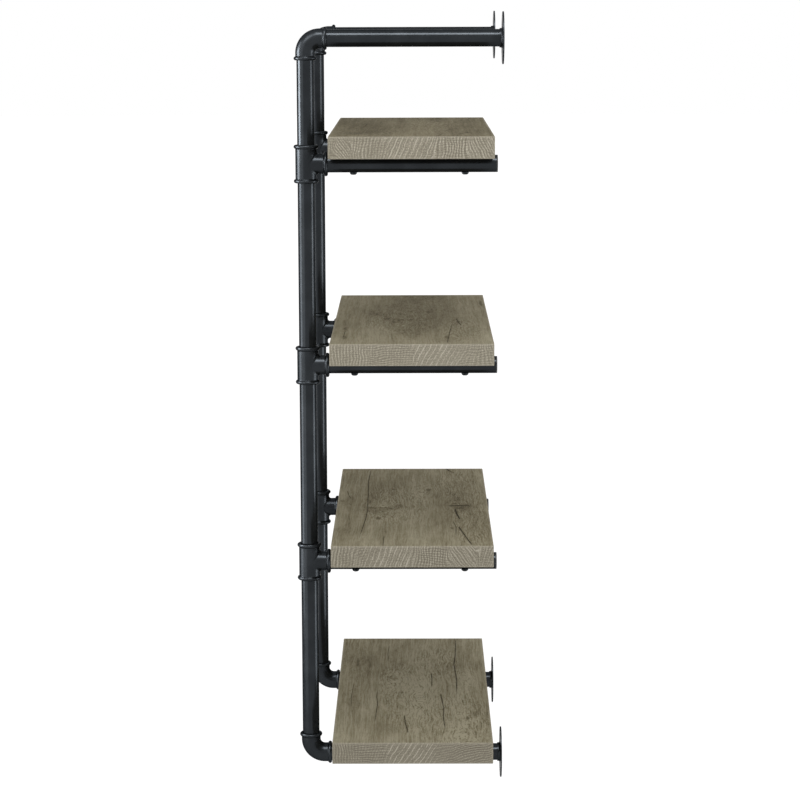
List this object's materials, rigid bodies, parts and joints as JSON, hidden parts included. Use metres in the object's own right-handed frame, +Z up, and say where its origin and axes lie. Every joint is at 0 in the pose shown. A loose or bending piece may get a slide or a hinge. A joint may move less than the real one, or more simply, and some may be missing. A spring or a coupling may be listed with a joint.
{
  "type": "wall shelf",
  "caption": "Open wall shelf: wood boards on two frames of black pipe with elbows, tees, and flanges that screw to the wall.",
  "frame": {"origin": "on the wall plane, at the middle of the rectangle of the four wall flanges", "axes": "+X to the right along the boards, +Y out of the room into the wall, +Z up"},
  "size_m": [0.6096, 0.3071, 1.1514],
  "materials": {
    "tube": "satin black coat on steel tube",
    "fitting": "satin black coat on cast fittings",
    "flange": "satin black coat on steel flange",
    "board": "matte grey-brown weathered wood",
    "plug": "matte black",
    "bolt": "black oxide steel",
    "insert": "zinc plated"
  },
  "bodies": {
    "root": {"board_bottom": "board", "bolts_bottom": "bolt", "inserts_bottom": "insert", "board_second": "board", "bolts_second": "bolt", "inserts_second": "insert", "board_third": "board", "bolts_third": "bolt", "inserts_third": "insert", "board_top": "board", "bolts_top": "bolt", "inserts_top": "insert", "elbow_upper_left": "fitting", "elbow_lower_left": "fitting", "flange_upper_left": "flange", "flange_lower_left": "flange", "wall_arm_upper_left": "tube", "wall_arm_lower_left": "tube", "tee_second_left": "fitting", "shelf_arm_second_left": "tube", "end_plug_second_left": "plug", "tee_third_left": "fitting", "shelf_arm_third_left": "tube", "end_plug_third_left": "plug", "tee_top_left": "fitting", "shelf_arm_top_left": "tube", "end_plug_top_left": "plug", "upright_bottom_left": "tube", "upright_second_left": "tube", "upright_third_left": "tube", "upright_top_left": "tube", "elbow_upper_right": "fitting", "elbow_lower_right": "fitting", "flange_upper_right": "flange", "flange_lower_right": "flange", "wall_arm_upper_right": "tube", "wall_arm_lower_right": "tube", "tee_second_right": "fitting", "shelf_arm_second_right": "tube", "end_plug_second_right": "plug", "tee_third_right": "fitting", "shelf_arm_third_right": "tube", "end_plug_third_right": "plug", "tee_top_right": "fitting", "shelf_arm_top_right": "tube", "end_plug_top_right": "plug", "upright_bottom_right": "tube", "upright_second_right": "tube", "upright_third_right": "tube", "upright_top_right": "tube"}
  },
  "joints": []
}
